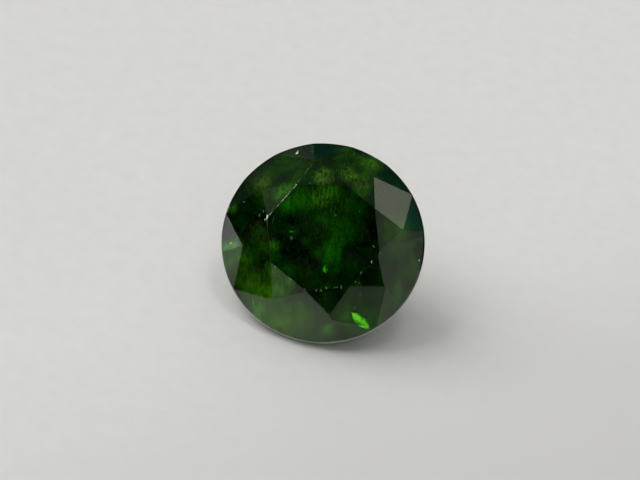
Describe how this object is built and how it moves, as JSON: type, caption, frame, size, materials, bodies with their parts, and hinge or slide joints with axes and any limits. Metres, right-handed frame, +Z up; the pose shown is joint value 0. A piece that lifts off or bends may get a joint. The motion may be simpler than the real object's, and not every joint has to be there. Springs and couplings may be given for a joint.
{
  "type": "demantoid garnet gemstone",
  "caption": "Loose dark green garnet cut as a round brilliant, lying on its pavilion with the table leaning up.",
  "frame": {"origin": "on the surface the stone lies on, under the middle of its box", "axes": "+Z up; +X along the level diameter of the girdle; the table leans towards -Y"},
  "size_m": [0.006, 0.0048, 0.0042],
  "materials": {
    "garnet": "polished"
  },
  "bodies": {
    "root": {"stone": "garnet"}
  },
  "joints": []
}
